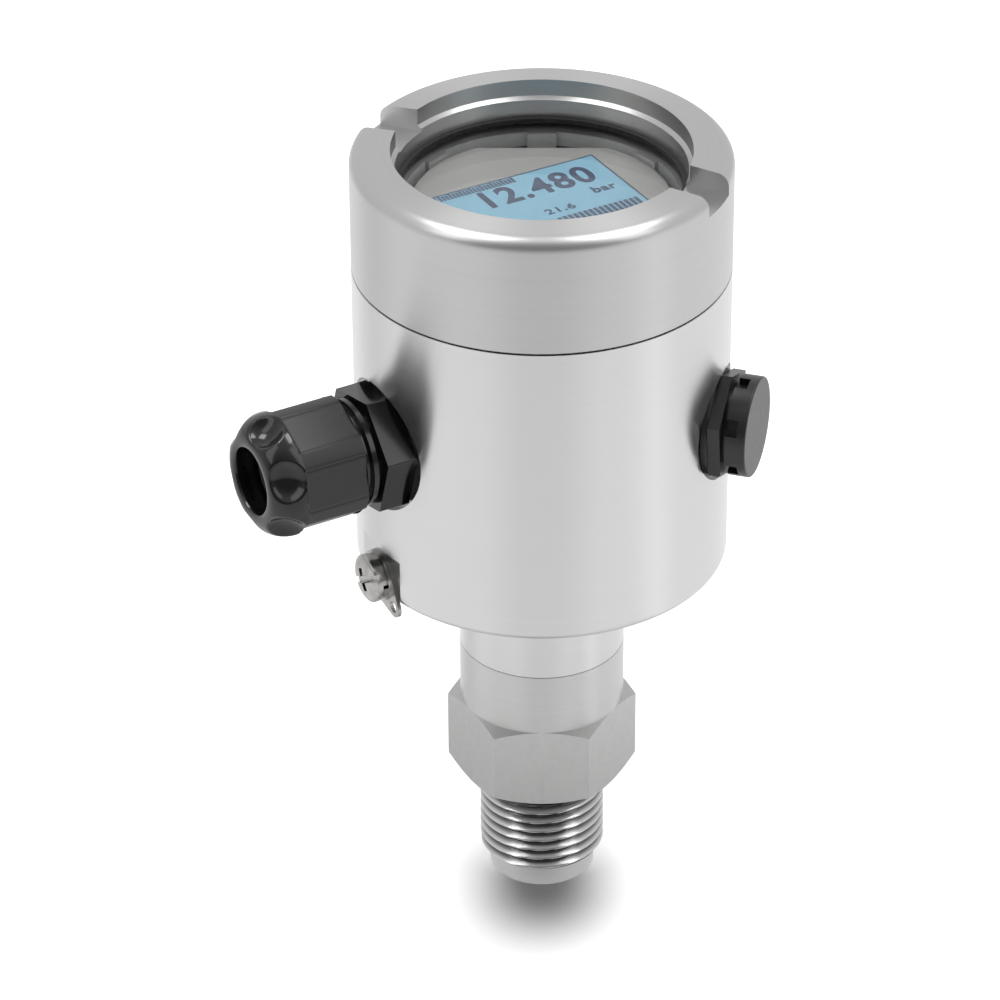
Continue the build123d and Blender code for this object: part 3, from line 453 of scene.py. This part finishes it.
# Measuring cell, its seal, clamp ring, board and lead, and the stem's seal and retaining ring: small
# bought-in pieces stacked in the connection before the housing goes on.
bright_steel = spotted("bright_steel", ((0.62, 0.61, 0.59), (0.50, 0.49, 0.47)), (0.12, 0.24),
                       1500, 1.5e-6, 1.0)
seal_rubber = spotted("seal_rubber", ((0.012, 0.012, 0.012), (0.022, 0.022, 0.022)), (0.5, 0.7), 2500, 4e-6)
dress("measuring_cell", spotted("cell_ceramic", ((0.88, 0.86, 0.80), (0.82, 0.80, 0.74)), (0.3, 0.45), 1500))
for node in ("cell_seal", "neck_seal"):
    dress(node, seal_rubber)
for node in ("cell_clamp_ring", "swivel_ring"):
    dress(node, bright_steel)
board_green = spotted("board_green", ((0.02, 0.16, 0.06), (0.03, 0.22, 0.09)), (0.25, 0.45), 400)
dress("sensor_board", board_green)
lead_grey = spotted("lead_grey", ((0.30, 0.30, 0.31), (0.38, 0.38, 0.39)), (0.4, 0.55), 1200)
dress("sensor_lead", lead_grey)

# Housing: a pot with its neck, turned from steel bar. Its ports are spot-faced for the gland and the
# breather, and a flat is milled for the earth screw.
housing_steel = turned_steel("housing_steel", ((0.632, 0.632, 0.630), (0.612, 0.612, 0.610)),
                             (0.25, 0.28), 5e-8)
dress("housing", housing_steel)

# Window cover: a heavy turned ring that screws over the housing's spigot on a flat seal. The window is
# stacked in it from below: a gasket, the glass, and a black retaining ring.
cover_steel = turned_steel("cover_steel", ((0.555, 0.555, 0.553), (0.525, 0.525, 0.523)), (0.30, 0.36), 1e-7)
dress("cover", cover_steel)
for node in ("cover_seal", "window_gasket"):
    dress(node, seal_rubber)
retainer_grey = spotted("retainer_grey", ((0.26, 0.26, 0.255), (0.32, 0.32, 0.315)), (0.25, 0.36), 1800, 1e-6)
dress("window_retainer", retainer_grey)

window_glass, glass_shader = new_material("window_glass", (0.97, 0.99, 0.99), 0.0)
glass_shader.inputs["Transmission Weight"].default_value = 1.0
glass_shader.inputs["IOR"].default_value = 1.25
tree = window_glass.node_tree
glass_smear = add_node(tree, "ShaderNodeTexNoise", Scale=60.0, Detail=2.0)
tree.links.new(axis_place(tree), glass_smear.inputs["Vector"])
smear_span = add_node(tree, "ShaderNodeMapRange")
smear_span.inputs["To Min"].default_value, smear_span.inputs["To Max"].default_value = 0.0, 0.02
tree.links.new(glass_smear.outputs["Fac"], smear_span.inputs["Value"])
tree.links.new(smear_span.outputs["Result"], glass_shader.inputs["Roughness"])
glass_path = tree.nodes.new("ShaderNodeLightPath")
glass_open = tree.nodes.new("ShaderNodeBsdfTransparent")
glass_mix = tree.nodes.new("ShaderNodeMixShader")
tree.links.new(glass_path.outputs["Is Shadow Ray"], glass_mix.inputs["Fac"])
tree.links.new(glass_shader.outputs[0], glass_mix.inputs[1])
tree.links.new(glass_open.outputs[0], glass_mix.inputs[2])
tree.links.new(glass_mix.outputs[0], tree.nodes["Material Output"].inputs["Surface"])
dress("window_glass", window_glass)

# Display module: a grey moulded shell with its board, a pale blue panel flush with its face, and four
# keys. The reading is printed on the panel as thin dark strokes.
shell_grey = spotted("shell_grey", ((0.155, 0.151, 0.144), (0.138, 0.134, 0.128)), (0.42, 0.55), 1500, 2e-6)
for node in ("display_case", "display_back"):
    dress(node, shell_grey)
key_grey = spotted("key_grey", ((0.40, 0.41, 0.42), (0.36, 0.37, 0.38)), (0.45, 0.6), 2000, 3e-6)
for key in (1, 2, 3, 4):
    dress(f"display_key_{key}", key_grey)
dress("display_board", board_green)
panel_blue = spotted("panel_blue", ((0.098, 0.205, 0.275), (0.115, 0.228, 0.292)), (0.30, 0.36), 90, 2e-7)
dress("lcd_panel", panel_blue)
ink_blue = spotted("ink_blue", ((0.012, 0.022, 0.05), (0.02, 0.03, 0.06)), (0.35, 0.45), 3000, 1e-7)
for under_glass in (panel_blue, ink_blue):
    under_glass.node_tree.nodes["Principled BSDF"].inputs["Specular IOR Level"].default_value = 0.2
panel_low, panel_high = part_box("lcd_panel")
ink_thickness, ink_gap = 0.02 * MM, 0.002 * MM


def vertex_spots(mesh):
    """The places of a mesh's vertices, as the rows of an array."""
    spots = np.empty(len(mesh.vertices) * 3)
    mesh.vertices.foreach_get("co", spots)
    return spots.reshape(-1, 3)


def raise_to_panel(mesh):
    """Move a flat mesh that was made round height zero so that it lies on the panel's face."""
    spots = vertex_spots(mesh)
    spots[:, 2] = panel_high.z + np.where(spots[:, 2] > 0, ink_thickness, ink_gap)
    mesh.vertices.foreach_set("co", spots.ravel())
    mesh.update()


def lettering(name, text, left, foot, width, height, weight, ink):
    """Print of that width and height whose lower left corner lies at (left, foot) from the panel's centre."""
    letters = bpy.data.curves.new(name, "FONT")
    letters.body = text
    letters.size = 0.01
    letters.space_character = 1.12
    letters.offset = weight
    letters.extrude = 1e-5
    letters.resolution_u = 6
    form = bpy.data.objects.new(name + "_form", letters)
    bpy.context.collection.objects.link(form)
    bpy.context.view_layer.update()
    mesh = bpy.data.meshes.new_from_object(form.evaluated_get(bpy.context.evaluated_depsgraph_get()))
    bpy.data.objects.remove(form)
    spots = vertex_spots(mesh)
    low, high = spots.min(0), spots.max(0)
    spots[:, 0] = left + (spots[:, 0] - low[0]) * width / (high[0] - low[0])
    spots[:, 1] = foot + (spots[:, 1] - low[1]) * height / (high[1] - low[1])
    mesh.vertices.foreach_set("co", spots.ravel())
    raise_to_panel(mesh)
    mesh.materials.clear()
    made = bpy.data.objects.new(name, mesh)
    bpy.context.collection.objects.link(made)
    fit_piece(made, ink, "display", "display_panel")


def printed_bars(name, lows, highs, ink):
    """Flat bars on the panel from arrays of their lower left and upper right corners."""
    lows, highs = np.array(lows), np.array(highs)
    corner_x = np.stack([lows[:, 0], highs[:, 0], highs[:, 0], lows[:, 0]], 1)
    corner_y = np.stack([lows[:, 1], lows[:, 1], highs[:, 1], highs[:, 1]], 1)
    flat = np.stack([corner_x, corner_y], -1)
    foot = np.concatenate([flat, np.full((*flat.shape[:2], 1), -1.0)], -1)
    top = np.concatenate([flat, np.full((*flat.shape[:2], 1), 1.0)], -1)
    spots = np.concatenate([foot, top], 1).reshape(-1, 3)
    sides = [(3, 2, 1, 0), (4, 5, 6, 7), (0, 1, 5, 4), (1, 2, 6, 5), (2, 3, 7, 6), (3, 0, 4, 7)]
    faces = (np.array(sides)[None] + 8 * np.arange(len(lows))[:, None, None]).reshape(-1, 4)
    mesh = bpy.data.meshes.new(name)
    mesh.from_pydata(spots.tolist(), [], faces.tolist())
    raise_to_panel(mesh)
    made = bpy.data.objects.new(name, mesh)
    bpy.context.collection.objects.link(made)
    fit_piece(made, ink, "display", "display_panel")


lettering("reading", "12.480", -8.0 * MM, 1.3 * MM, 19.4 * MM, 5.6 * MM, 0.0003, ink_blue)
lettering("unit", "bar", 8.4 * MM, -2.3 * MM, 4.2 * MM, 2.1 * MM, 0.0004, ink_blue)
lettering("small_reading", "21.6", -1.6 * MM, -4.9 * MM, 5.2 * MM, 1.8 * MM, 0.0003, ink_blue)
scale_count = 16
scale_left, scale_right = -1.0 * MM, 13.6 * MM
scale_foot, scale_top = -9.1 * MM, -6.4 * MM
scale_fill = 0.72
scale_step = (scale_right - scale_left) / scale_count
scale_places = scale_left + scale_step * np.arange(scale_count)
printed_bars(
    "bar_graph",
    np.stack([scale_places, np.full(scale_count, scale_foot)], 1),
    np.stack([scale_places + scale_fill * scale_step, np.full(scale_count, scale_top)], 1),
    ink_blue,
)
edge_x = (panel_high.x - panel_low.x) / 2
edge_y = (panel_high.y - panel_low.y) / 2
edge_width = 0.25 * MM
printed_bars(
    "panel_border",
    [(-edge_x, -edge_y), (-edge_x, edge_y - edge_width), (-edge_x, edge_width - edge_y),
     (edge_x - edge_width, edge_width - edge_y)],
    [(edge_x, edge_width - edge_y), (edge_x, edge_y), (edge_width - edge_x, edge_y - edge_width),
     (edge_x, edge_y - edge_width)],
    ink_blue,
)
head_count = 22
head_left, head_step, head_width = -13.9 * MM, 0.62 * MM, 0.44 * MM
head_foot, head_top, head_tall = 7.2 * MM, 8.7 * MM, 0.3 * MM
head_places = head_left + head_step * np.arange(head_count)
head_tops = head_top + head_tall * (np.arange(head_count) % 3 == 0)
printed_bars(
    "header_marks",
    np.stack([head_places, np.full(head_count, head_foot)], 1),
    np.stack([head_places + head_width, head_tops], 1),
    ink_blue,
)

# Display carrier, electronics cup, boards, terminals, posts and ribbon: what the housing holds under the
# display.
inner_moulding = spotted("inner_moulding", ((0.10, 0.105, 0.11), (0.14, 0.145, 0.15)), (0.45, 0.6),
                         1200, 3e-6)
for node in ("display_carrier", "electronics_cup", "terminal_block"):
    dress(node, inner_moulding)
dress("main_board", board_green)
dress("terminal_screws", bright_steel)
turned_brass = spotted("turned_brass", ((0.78, 0.60, 0.30), (0.70, 0.53, 0.25)), (0.2, 0.35), 900, 2e-6, 1.0)
dress("display_posts", turned_brass)
dress("display_ribbon", lead_grey)

# Cable gland: a black nylon body on a gasket, locked by a nut inside, with a claw and a rubber insert
# that the dome nut closes on the cable. The dome nut has flats between ribs and a scoop at each rib's end.
black_gloss = spotted("black_gloss", ((0.006, 0.006, 0.007), (0.010, 0.010, 0.011)), (0.11, 0.17), 1800, 4e-7)
dress("gland_body", black_gloss)
dress("gland_locknut", black_gloss)
dress("gland_gasket", seal_rubber)
insert_rubber = spotted("insert_rubber", ((0.07, 0.07, 0.07), (0.10, 0.10, 0.10)), (0.40, 0.55), 1600, 1e-6)
dress("gland_insert", insert_rubber)
black_matt = spotted("black_matt", ((0.012, 0.012, 0.013), (0.018, 0.018, 0.019)), (0.30, 0.42), 1600, 1.5e-6)
claw_black = spotted("claw_black", ((0.05, 0.05, 0.051), (0.07, 0.07, 0.071)), (0.25, 0.36), 1600, 1e-6)
dress("gland_claw", claw_black)

gland_height = 90.0 * MM
nut_foot, nut_head = 36.5 * MM, 52.3 * MM
nut_radius = 10.0 * MM
nut_flat_half = 9.25 * MM
nut_flat_end = 46.9 * MM
nut_flat_reach = 3.55 * MM
dome_foot = 47.3 * MM
dome_mouth = 6.4 * MM
nut_hole = 5.4 * MM
nut_bore, nut_bore_end = 8.05 * MM, 44.7 * MM
rib_turn = radians(37.0)
scoop_turn = radians(22.5)
scoop_radius = 4.4 * MM
scoop_place = 51.3 * MM
scoop_reach = 11.6 * MM
scoop_softness, flat_softness = 0.32 * MM, 0.03 * MM
rib_slope, flat_end_slope, beyond_dome = 8, 2.5, 3 * MM
rib_groove_depth, rib_groove_width = 0.09 * MM, 0.22 * MM
foot_chamfer = 0.5 * MM
lip_width, lip_round, lip_depth, seat_radius = 0.5 * MM, 0.15 * MM, 1.5 * MM, 6.85 * MM


def soft_least(first, second, width):
    """The smaller of two surfaces, with the edge between them rounded over a width."""
    return -width * np.logaddexp(-first / width, -second / width)


def dome_nut_surface():
    """Rings of the dome nut. The radius at (angle, distance out) is the least of a cylinder that ends in a
    quarter ellipse, six planes over the flats' length, and six spheres that scoop the ribs' ends."""
    angles = np.linspace(0, 2 * pi, 360, endpoint=False)
    body = np.linspace(nut_foot, dome_foot, 60)
    dome_turn = np.linspace(0, pi / 2, 44)[1:-1]
    dome = dome_foot + (nut_head - dome_foot) * np.sin(dome_turn)
    outs = np.concatenate([body, dome])
    out, angle = np.meshgrid(outs, angles, indexing="ij")
    fall = np.sqrt(np.clip(1 - ((out - dome_foot) / (nut_head - dome_foot)) ** 2, 0, 1))
    round_part = np.where(out < dome_foot, nut_radius, dome_mouth + (nut_radius - dome_mouth) * fall)
    from_scoop = (angle - scoop_turn + pi / 6) % (pi / 3) - pi / 6
    from_flat = (angle - rib_turn) % (pi / 3) - pi / 6
    plane = nut_flat_half / np.cos(from_flat)
    beside = plane * np.sin(np.abs(from_flat)) - nut_flat_reach
    plane = plane + np.clip(beside * rib_slope, 0, beyond_dome)
    plane = plane + np.clip((out - nut_flat_end) * flat_end_slope, 0, beyond_dome)
    radius = soft_least(round_part, plane, flat_softness)
    rib_groove = rib_groove_depth * np.exp(-((beside / rib_groove_width) ** 2))
    radius = radius - rib_groove * (out < nut_flat_end)
    inside = scoop_radius ** 2 - (scoop_reach * np.sin(from_scoop)) ** 2 - (out - scoop_place) ** 2
    scoop = np.where(inside > 0, scoop_reach * np.cos(from_scoop) - np.sqrt(np.clip(inside, 0, None)), 1.0)
    radius = soft_least(radius, scoop, scoop_softness)
    foot = [(nut_bore, nut_foot), (nut_radius - foot_chamfer, nut_foot)]
    skin = np.stack([radius * np.cos(angle), radius * np.sin(angle), out], -1)
    mouth = [
        (dome_mouth, nut_head), (nut_hole + lip_width, nut_head),
        (nut_hole + lip_round, nut_head - lip_round), (nut_hole, nut_head - lip_width),
        (nut_hole, nut_head - lip_depth), (seat_radius, nut_bore_end), (nut_bore, nut_bore_end),
    ]
    return np.concatenate([rings_at(angles, foot), skin, rings_at(angles, mouth)])


def along_gland(points):
    """Points of (level, up, out) about the gland's axis in the object's frame: out is -X and level is -Y."""
    return np.stack([-points[..., 2], -points[..., 0], gland_height + points[..., 1]], -1)


dome_nut = closed_grid("dome_nut", along_gland(dome_nut_surface()), 28.0)
fit_piece(dome_nut, black_gloss, "gland_nut", "black_gloss", "gland_nut")
black_satin = spotted("black_satin", ((0.020, 0.020, 0.021), (0.030, 0.030, 0.031)), (0.34, 0.44), 1600, 1e-6)
dome_nut.data.materials.append(black_satin)
on_flats = -face_middles(dome_nut.data)[:, 0] < nut_flat_end
dome_nut.data.polygons.foreach_set("material_index", on_flats.astype(np.int32))

# Breather plug: a flat black hexagon body on a ring seal, and a castellated cap that shelters its
# membrane.
dress("vent_seal", seal_rubber)
dress("vent_body", black_matt)
dress("vent_cap", black_matt)
membrane_white = spotted("membrane_white", ((0.80, 0.80, 0.79), (0.74, 0.74, 0.73)), (0.7, 0.85), 3000, 4e-6)
dress("vent_membrane", membrane_white)

# Earth screw: a steel screw with a slot and a cross, a spring washer and a plain one, and a lug with an
# eye for a seal wire.
screw_steel = spotted("screw_steel", ((0.62, 0.61, 0.59), (0.22, 0.215, 0.21)), (0.12, 0.30),
                      420, 2e-6, 1.0, 3)
for node in ("earth_screw", "earth_washer", "spring_washer", "tag_lug"):
    dress(node, screw_steel)
